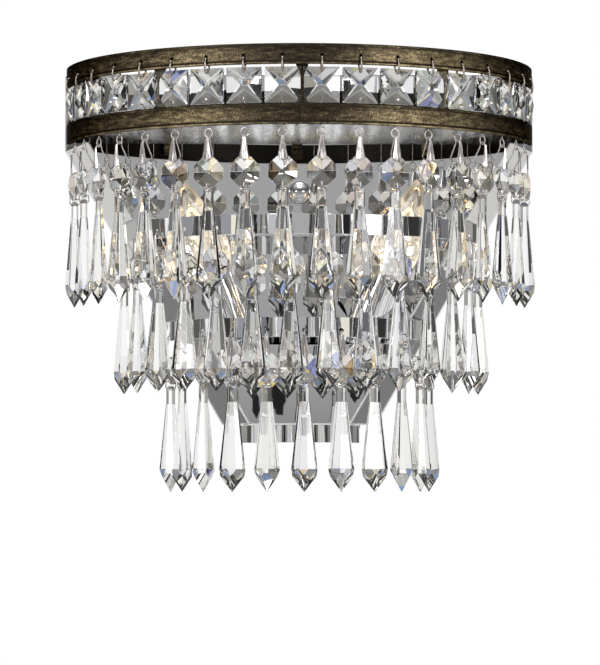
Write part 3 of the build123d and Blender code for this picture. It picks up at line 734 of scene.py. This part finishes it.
def hullOf(points):
    bm = bmesh.new()
    for point in points:
        bm.verts.new(point)
    found = bmesh.ops.convex_hull(bm, input=bm.verts)
    bmesh.ops.delete(bm, geom=[v for v in found["geom_interior"] if isinstance(v, bmesh.types.BMVert)],
                     context="VERTS")
    flat = radians(crystalCut["flatWithin"])
    bmesh.ops.dissolve_limit(bm, angle_limit=flat, verts=bm.verts, edges=bm.edges)
    return bm


def flattenEdges(bm, edges, width):
    bmesh.ops.bevel(bm, geom=edges, offset=width, offset_type="OFFSET", segments=1,
                    profile=0.5, affect="EDGES", material=-1)


def drilled(bm, levels, length):
    # holes from front to back at these heights
    places = [Matrix.Translation((0, 0, level)) for level in levels]
    return cutAway(bm, drills(places, crystalCut["holeRadius"], length, crystalCut["holeSides"]))


def polygonRing(sides, apothem, y):
    # corners of a regular polygon that stands on a flat
    reach = apothem / cos(pi / sides)
    return [(reach * sin(2 * pi * (i + 0.5) / sides), y, reach * cos(2 * pi * (i + 0.5) / sides))
            for i in range(sides)]


def crossPoints(reach, y, turn=0.0):
    return [(reach * sin(turn + pi * i / 2), y, reach * cos(turn + pi * i / 2)) for i in range(4)]


def squareCrystal():
    # a flat pyramid on each face, with small kite facets round its point
    cut = crystalCut
    half, rim, front = cut["squareSide"] / 2, cut["squareGirdle"] / 2, cut["squareDepth"] / 2
    kiteHeight = front - (front - rim) * cut["kiteReach"] / (2 * half)
    points = []
    for side in (1, -1):
        points += polygonRing(4, half, side * rim) + [(0, side * front, 0)]
        points += crossPoints(cut["kiteReach"], side * kiteHeight)
    return drilled(hullOf(points), (cut["squareHole"], -cut["squareHole"]), cut["drillLength"])


def octagonCrystal():
    # four facets in front and four behind, turned against each other by an eighth of a turn
    cut = crystalCut
    half, rim, front = cut["octagonWidth"] / 2, cut["octagonGirdle"] / 2, cut["octagonDepth"] / 2
    ridgeEnd = front - (front - rim) * cos(pi / 4)
    points = []
    for side, turn in ((-1, pi / 4), (1, 0.0)):
        points += polygonRing(8, half, side * rim) + [(0, side * front, 0)]
        points += crossPoints(half, side * ridgeEnd, turn)
    bm = hullOf(points)
    ridges = [e for e in bm.edges if e.calc_face_angle(0) > radians(cut["ridgeAngle"])]
    flattenEdges(bm, ridges, cut["ridgeFlat"])
    return drilled(bm, (cut["octagonHole"], -cut["octagonHole"]), cut["drillLength"])


def icicleSection(width, drop):
    # flattened eight-sided section at this drop below the pivot
    half = width / 2
    deep = half * crystalCut["depthRatio"]
    share = crystalCut["facetShare"]
    quarter = [(half, deep * share), (half * share, deep)]
    front = quarter + [(-x, y) for x, y in reversed(quarter)]
    return [(x, y, -drop) for x, y in front + [(-x, -y) for x, y in front]]


def icicleCrystal():
    cut = crystalCut
    top, neckFoot = cut["icicleTop"], cut["icicleTop"] + cut["neckHeight"]
    belly = neckFoot + cut["bodyHeight"]
    point = belly + cut["pointHeight"]
    neck = hullOf(icicleSection(cut["neckCrown"] * cut["neckWidth"], top)
                  + icicleSection(cut["neckWidth"], top + cut["neckCrownHeight"])
                  + icicleSection(cut["neckWidth"], neckFoot))
    neck = drilled(neck, (-cut["icicleHole"],), cut["neckDrillLength"])
    # the point is a four-sided pyramid whose ridges meet the middles of the broad faces
    fall = cut["pointHeight"] / (1 + cut["facetShare"])
    half, deep = cut["bodyWidth"] / 2, cut["bodyWidth"] / 2 * cut["depthRatio"]
    ridges = [(x * half, y * deep, fall - point) for x, y in ((1, 0), (0, 1), (-1, 0), (0, -1))]
    body = hullOf(icicleSection(cut["shoulderWidth"], neckFoot) + icicleSection(cut["bodyWidth"], belly)
                  + ridges + [(0, 0, -point)])
    flattenEdges(body, body.edges[:], cut["edgeFlat"])
    addMesh(body, neck)
    neck.free()
    return body


# colours painted on the facets as glints of dispersed light
glintColours = {
    "pale": [(1.0, 1.0, 0.99), (0.98, 0.98, 0.96), (0.95, 0.96, 0.99), (0.93, 0.93, 0.91)],
    "soft": [(0.98, 0.93, 0.78), (0.97, 0.86, 0.80), (0.84, 0.95, 0.90), (0.80, 0.84, 0.94),
             (0.98, 0.96, 0.90), (0.70, 0.67, 0.66)],
    "strong": [(0.97, 0.90, 0.72), (0.95, 0.91, 0.78), (0.76, 0.80, 0.92), (0.90, 0.85, 0.92),
               (0.60, 0.54, 0.46), (0.74, 0.71, 0.66), (0.96, 0.84, 0.62)],
    "deep": [(0.18, 0.22, 0.72), (0.95, 0.58, 0.18), (0.50, 0.34, 0.18), (0.92, 0.70, 0.62)],
    # areas in square metres: below the first strong colours, between the other two softer ones
    "small": 1.5e-5, "middle": (4.0e-5, 8.0e-5), "deepShare": 0.14, "deepShareMiddle": 0.063,
    "squareChance": 0.35, "strandChance": 0.55,      # how many of those facets take a colour at all
}


def paintGlintFacets(piece, chance):
    # broad facets stay almost clear, smaller ones are painted with the colours that cut glass throws, as
    # painted glints
    # the facets are taken by where they lie, because their order differs from run to run
    colours = glintColours
    mesh, draw = piece.data, random.Random(piece.name)
    layer = mesh.color_attributes.new("facetTint", "FLOAT_COLOR", "CORNER")
    for polygon in sorted(mesh.polygons, key=lambda p: tuple(round(v, 6) for v in p.center)):
        coloured, deep, which = draw.random(), draw.random(), draw.random()
        tints = colours["pale"]
        if coloured < chance and polygon.area < colours["small"]:
            tints = colours["deep"] if deep < colours["deepShare"] else colours["strong"]
        elif coloured < chance and colours["middle"][0] < polygon.area < colours["middle"][1]:
            mild = colours["soft"] + colours["strong"]
            tints = colours["deep"] if deep < colours["deepShareMiddle"] else mild
        for corner in polygon.loop_indices:
            layer.data[corner].color = (*tints[int(which * len(tints))], 1.0)


# no crystal hangs quite straight: the largest turn about the upright axis and the largest nod, in degrees
hanging = {"seed": 11, "squareNod": 1.5, "octagonTurn": 12, "octagonNod": 5, "icicleTurn": 28}


def smallTurn(limit):
    return radians(random.uniform(-limit, limit))


random.seed(hanging["seed"])
square = squareCrystal()
octagon = octagonCrystal()
icicle = icicleCrystal()
squares = bmesh.new()
for angle in tiers["upper"]["angles"]:
    place = ringPlace(angle, crystalCut["squareRadius"], crystalCut["squareLevel"])
    addMesh(squares, square, place @ Matrix.Rotation(smallTurn(hanging["squareNod"]), 4, "X"))
squarePiece = finishPiece("squareCrystals", squares, "crystal", fixture, nodes=["square_crystals"])
paintGlintFacets(squarePiece, glintColours["squareChance"])
print("squares made")

# wires, each with the (outwards, height) corners that it bends round
wires = {
    # a C from the band's hole to the square's upper hole
    "hook": {"thickness": 1.3, "corners": [
        (1.6, 72.75), (2.5, 72.3), (3.3, 69.5), (3.2, 65.0), (2.4, 63.6), (0.0, 63.4), (-2.4, 63.6),
        (-2.9, 66.0), (-2.9, 70.0), (-2.4, 72.5), (0.0, 72.8)]},
    # an eye under the lower band, on a shank that turns forwards through the square's lower hole
    "link": {"thickness": 0.9, "eyeRadius": 2.75, "eyeLevel": 27.2, "eyeCorners": 10, "corners": [
        (0.0, 29.6), (0.0, 34.0), (0.0, 40.0), (0.0, 46.6), (0.3, 47.4), (2.2, 47.4), (4.3, 47.4)]},
    # over the lip at the pivot, down in front, through the octagon's upper hole and up behind in a bow
    "clip": {"thickness": 0.8, "corners": [
        (-1.75, -0.6), (-1.85, 0.9), (-0.95, 1.95), (0.95, 1.95), (1.85, 0.9), (1.9, -1.0),
        (2.1, -6.0), (2.45, -12.4), (2.55, -13.9), (1.6, -14.05), (0.0, -14.05), (-1.8, -14.05),
        (-2.9, -13.6), (-6.2, -9.9), (-6.4, -9.0), (-5.9, -8.0), (-3.2, -3.2)]},
    # a long loop through the octagon's lower hole and the icicle's
    "connector": {"thickness": 0.75, "corners": [
        (2.9, -27.9), (0.0, -27.75), (-2.9, -27.9), (-3.3, -28.8), (-3.2, -31.9), (-2.9, -32.75),
        (0.0, -32.9), (2.9, -32.75), (3.2, -31.9), (3.3, -28.8)]},
}


def bentWire(name, closed=True):
    # in the upright plane through the light's axis
    wire = wires[name]
    return wireMesh([(0, -out, up) for out, up in wire["corners"]], wire["thickness"], closed=closed)


def linkEye():
    link = wires["link"]
    turns = [2 * pi * i / link["eyeCorners"] for i in range(link["eyeCorners"])]
    return wireMesh([(link["eyeRadius"] * sin(turn), 0, link["eyeLevel"] + link["eyeRadius"] * cos(turn))
                     for turn in turns], link["thickness"], closed=True)


hook, eye, shank = bentWire("hook"), linkEye(), bentWire("link", closed=False)
hooks, links = bmesh.new(), bmesh.new()
for angle in tiers["upper"]["angles"]:
    addMesh(hooks, hook, ringPlace(angle, crystalCut["squareRadius"], 0))
    place = ringPlace(angle, tiers["upper"]["radius"], 0)
    addMesh(links, eye, place)
    addMesh(links, shank, place)
finishPiece("squareHooks", hooks, "hookWire", fixture, nodes=["square_hooks"], smoothAngle=60)
finishPiece("eyeLinks", links, "clipWire", fixture, nodes=["eye_links"], smoothAngle=60)
print("hooks and links made")


# hanging strands
clipShape = {
    "wingTop": 0.2, "wingFoot": 12.7, "topWidth": 1.9, "footWidth": 6.2, "face": 2.45, "thickness": 0.28,
    "columns": 16, "rows": 8, "flutes": 4, "fluteDepth": 0.24, "fluteFade": 0.35,
    "curl": 0.35, "lip": 0.4, "lipShare": 0.15,
}


def pressedWing():
    # fluted front leaf of a clip, wider at the foot, its sides curled back and its foot a rounded lip
    clip = clipShape
    bm = bmesh.new()
    bmesh.ops.create_grid(bm, x_segments=clip["columns"], y_segments=clip["rows"], size=0.5)
    for vert in bm.verts:
        across, down = 2 * vert.co.x, 0.5 - vert.co.y
        width = clip["topWidth"] + (clip["footWidth"] - clip["topWidth"]) * down
        drop = clip["wingTop"] + (clip["wingFoot"] - clip["wingTop"]) * down
        fold = (across + 1) * clip["flutes"] / 2
        flute = clip["fluteDepth"] * (4 * abs(fold % 1 - 0.5) - 1) * min(1.0, clip["fluteFade"] + down)
        curl = clip["curl"] * across ** 2 * down
        lip = clip["lip"] * (1 - across ** 2) * max(0.0, down - 1 + clip["lipShare"]) / clip["lipShare"]
        vert.co = (across * width / 2, -clip["face"] + curl - flute, -drop - lip)
    bmesh.ops.solidify(bm, geom=bm.faces, thickness=clip["thickness"])
    return bm


def turnedIcicle(turn, tier):
    # the upper icicles hang furthest out, and turned they reach no further than when they hang straight
    reach = cos(turn) + sin(abs(turn)) * crystalCut["facetShare"] / crystalCut["depthRatio"]
    depth = 1 / reach if tier == "upper" else 1.0
    return Matrix.Scale(depth, 4, (0, 1, 0)) @ Matrix.Rotation(turn, 4, "Z")


clipWire, connector, wing = bentWire("clip"), bentWire("connector"), pressedWing()
for tier, layout in tiers.items():
    for number, angle in enumerate(layout["angles"], start=1):
        body = f"{tier}_strand_{number:02d}"
        place = ringPlace(angle, layout["radius"], layout["level"])
        glass = bmesh.new()
        turnOctagon = (Matrix.Rotation(smallTurn(hanging["octagonTurn"]), 4, "Z")
                       @ Matrix.Rotation(smallTurn(hanging["octagonNod"]), 4, "X"))
        turnIcicle = turnedIcicle(smallTurn(hanging["icicleTurn"]), tier)
        addMesh(glass, octagon, place @ Matrix.Translation((0, 0, -crystalCut["octagonDrop"])) @ turnOctagon)
        addMesh(glass, icicle, place @ turnIcicle)
        drop = finishPiece(f"{tier}Crystals{number:02d}", glass, "crystal", body, nodes=[body])
        paintGlintFacets(drop, glintColours["strandChance"])
        metal = bmesh.new()
        for source in (clipWire, wing, connector):
            addMesh(metal, source, place)
        finishPiece(f"{tier}Clip{number:02d}", metal, "clipWire", body, smoothAngle=38)
print("strands made")

# lamps, with heights measured along their tilted axis
lampShape = {
    # foot of the axis, and how far it leans outwards in degrees
    "x": 40.0, "y": 50.0, "level": -96.0, "tilt": 20.0,
    # the arm leaves the plate where the lamp's axis, carried on down, meets this level
    "armX": 34.177, "armLevel": -112.0, "armRadius": 4.0,
    # its bends: further outwards than there, from the wall, and above there
    "armBends": [(0, 13.0, 0), (0, 24.0, 0), (0, 41.0, 0), (0, 49.8, 0.6), (0.6, 50.0, 6.0),
                 (5.423, 50.0, 14.9)],
    "nutRadius": 7.0, "nutDepth": 3.0, "nutEdge": 0.4,
    "cupRadius": 11.0, "cupDepth": 2.0,
    "sleeveRadius": 11.0, "sleeveWall": 1.2, "sleeveLength": 42.0,
    "holderRadius": 9.4, "holderBore": 6.4, "holderFloor": 16.0,
    "foot": 0.3,            # the play between the cup and the sleeve and holder that stand on it
    "seat": 40.0,           # height of the holder's top, where the bulb's glass begins
    "edgeAcross": 0.3, "edgeUp": 0.4, "steps": 64, "holderSteps": 48,
}
# the bulb, with heights measured from the holder's top
bulbShape = {
    "outline": [(5.9, 0.0), (7.4, 1.6), (11.2, 5.6), (14.0, 10.6), (15.6, 16.2), (15.9, 21.6), (15.5, 27.5),
                (14.2, 34.5), (12.2, 42.0), (9.6, 50.0), (6.9, 58.0), (4.2, 65.0), (2.1, 70.0), (0.9, 71.6),
                (0.0, 71.9)],
    "wall": 0.7, "tipRadius": 4.0, "steps": 48, "screwSteps": 32, "stemSteps": 20,
    "stem": [(0, 0.8), (3.2, 0.8), (2.4, 6.0), (1.5, 12.0), (1.2, 18.0), (1.9, 20.0), (0, 21.0)],
    "lead": [(0.8, 19.0), (2.0, 23.0), (2.3, 28.2)], "leadThickness": 0.4,
    # the screw base below, with a crest at every other corner
    "contact": [(0, -20.0), (3.0, -20.0), (3.4, -18.4)], "collar": [(6.0, -0.4), (6.0, 0.6), (0, 0.6)],
    "crest": 5.9, "threadDepth": 0.45, "threadFoot": -17.6, "threadStep": 1.1, "threadCorners": 15,
    # the filament: a fine coil, bent into an arch between the leads
    "coilRadius": 1.0, "coilStep": 2.2, "coilCorners": 41, "coilSpan": 4.4,
    "coilFoot": 28.0, "coilRise": 7.0, "coilThickness": 0.5,
}


def lampPlace(side, rise=0.0):
    lean = Matrix.Rotation(radians(side * lampShape["tilt"]), 4, "Y")
    foot = Matrix.Translation((side * lampShape["x"], -lampShape["y"], lampShape["level"]))
    return foot @ lean @ Matrix.Translation((0, 0, rise))


def armMesh(side):
    # a bent tube with the nut that holds it to the plate
    lamp, bm = lampShape, bmesh.new()
    bends = [(side * (lamp["armX"] + out), -away, lamp["armLevel"] + up)
             for out, away, up in lamp["armBends"]]
    addMesh(bm, wireMesh(bends, 2 * lamp["armRadius"], roundness=6, resolution=10))
    nut, radius = bmesh.new(), lamp["nutRadius"]
    middle = Matrix.Translation((side * lamp["armX"], -plateFront - lamp["nutDepth"] / 2, lamp["armLevel"]))
    bmesh.ops.create_cone(nut, cap_ends=True, segments=6, radius1=radius, radius2=radius,
                          depth=lamp["nutDepth"], matrix=middle @ Matrix.Rotation(pi / 2, 4, "X"))
    bmesh.ops.bevel(nut, geom=nut.edges[:], offset=lamp["nutEdge"], segments=2, profile=0.5,
                    affect="EDGES", material=-1)
    addMesh(bm, nut)
    nut.free()
    return bm


def cupMesh():
    radius, depth, up = lampShape["cupRadius"], lampShape["cupDepth"], lampShape["edgeUp"]
    return spinProfile([(0, -depth), (radius - up, -depth), (radius, up - depth), (radius, -up / 2),
                        (radius - up / 2, 0.0), (0, 0.0)], lampShape["steps"])


def sleeveMesh():
    lamp = lampShape
    outer, inner = lamp["sleeveRadius"], lamp["sleeveRadius"] - lamp["sleeveWall"]
    top, foot, across, up = lamp["sleeveLength"], lamp["foot"], lamp["edgeAcross"], lamp["edgeUp"]
    return spinProfile([
        (inner, foot), (inner, top - up), (inner + across, top), (outer - across, top), (outer, top - up),
        (outer, foot + across), (outer - across, foot)], lamp["steps"], closed=True)


def holderMesh():
    lamp = lampShape
    outer, bore, floor = lamp["holderRadius"], lamp["holderBore"], lamp["holderFloor"]
    top, foot, across, up = lamp["seat"], lamp["foot"], lamp["edgeAcross"], lamp["edgeUp"]
    return spinProfile([
        (0, floor), (bore, floor), (bore, top - up), (bore + up, top), (outer - across, top),
        (outer, top - up), (outer, foot), (0, foot)], lamp["holderSteps"])


def bulbMesh():
    # a thin glass wall, its foot left open down inside the collar of the screw base
    outline, wall = bulbShape["outline"], bulbShape["wall"]
    shell = [(max(r - wall, 0.0), z - (wall if r < bulbShape["tipRadius"] else 0.0)) for r, z in outline]
    return spinProfile(outline + shell[::-1], bulbShape["steps"])


def screwMesh():
    bulb = bulbShape
    thread = [(bulb["crest"] - bulb["threadDepth"] * (i % 2), bulb["threadFoot"] + bulb["threadStep"] * i)
              for i in range(bulb["threadCorners"])]
    return spinProfile(bulb["contact"] + thread + bulb["collar"], bulb["screwSteps"])


def filamentMesh():
    bulb, corners = bulbShape, []
    radius, last = bulb["coilRadius"], bulb["coilCorners"] - 1
    for i in range(bulb["coilCorners"]):
        along, turn = i / last, bulb["coilStep"] * i
        corners.append((radius * cos(turn) + bulb["coilSpan"] * (along - 0.5), radius * sin(turn),
                        bulb["coilFoot"] + bulb["coilRise"] * sin(pi * along)))
    return wireMesh(corners, bulb["coilThickness"], roundness=1, resolution=2)


arms, sleeves, glassBulbs, glows, stems, holders, bases = (bmesh.new() for _ in range(7))
stemGlass = spinProfile(bulbShape["stem"], bulbShape["stemSteps"])
leads = [wireMesh([(side * out, 0, up) for out, up in bulbShape["lead"]], bulbShape["leadThickness"],
                  roundness=1) for side in (1, -1)]
for side in (1, -1):
    foot, seat = lampPlace(side), lampPlace(side, lampShape["seat"])
    addMesh(arms, armMesh(side))
    addMesh(arms, cupMesh(), foot)
    addMesh(sleeves, sleeveMesh(), foot)
    addMesh(holders, holderMesh(), foot)
    addMesh(glassBulbs, bulbMesh(), seat)
    addMesh(bases, screwMesh(), seat)
    addMesh(glows, filamentMesh(), seat)
    for source in (stemGlass, *leads):
        addMesh(stems, source, seat)
finishPiece("lampArms", arms, "ringChrome", fixture, nodes=["lamp_arms"], smoothAngle=40)
finishPiece("lampSleeves", sleeves, "ringChrome", fixture, nodes=["lamp_sleeves"],
            smoothAngle=20)
finishPiece("lampHolders", holders, "holderPlastic", fixture, nodes=["lamp_sockets"],
            smoothAngle=20)
finishPiece("bulbGlass", glassBulbs, "bulbGlass", fixture, nodes=["bulbs"], smoothAngle=60)
finishPiece("bulbStems", stems, "clipWire", fixture, smoothAngle=50)
finishPiece("bulbFilaments", glows, "filament", fixture, smoothAngle=50)
finishPiece("bulbBases", bases, "clipWire", fixture, smoothAngle=30)
print("lamps made")

# cap nut: a washer, a short neck and a ball, measured from the plate's face
capShape = {
    "bore": 3.1, "washerRadius": 8.0, "washerHeight": 1.5, "washerEdge": 0.3,
    "neckFoot": 5.7, "neckTop": (6.4, 2.0), "ballRadius": 7.0, "ballMiddle": 3.6,
    "ballAngles": range(-10, 91, 10),      # from just under its widest to its top
    "steps": 56,
}


def capMesh():
    cap = capShape
    rim, top, edge = cap["washerRadius"], cap["washerHeight"], cap["washerEdge"]
    ball = [(cap["ballRadius"] * cos(radians(a)), cap["ballMiddle"] + cap["ballRadius"] * sin(radians(a)))
            for a in cap["ballAngles"]]
    return spinProfile([(cap["bore"], 0.0), (rim, 0.0), (rim, top - edge), (rim - edge, top),
                        (cap["neckFoot"], top), cap["neckTop"]] + ball, cap["steps"])


capNut = bmesh.new()
addMesh(capNut, capMesh(), Matrix.Translation((0, -plateFront, 0)) @ Matrix.Rotation(pi / 2, 4, "X"))
finishPiece("capNut", capNut, "nutChrome", fixture, nodes=["cap_nut"], smoothAngle=20)
print("cap nut made")

# carried-over nodes
strutFinish = {"level": 0.0562, "halfHeight": 0.045, "paintedShadeRadius": 0.1}
finishes["strutBronze"] = rubbedBronze("strutBronze", **strutFinish)
for node, material in (("wall_plate", "plateChrome"), ("crossbar", "zincSteel"), ("mount_stud", "zincSteel"),
                       ("band_struts", "strutBronze")):
    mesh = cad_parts[node].data
    mesh.materials.clear()
    mesh.materials.append(finishes[material])
print("carried-over nodes finished")
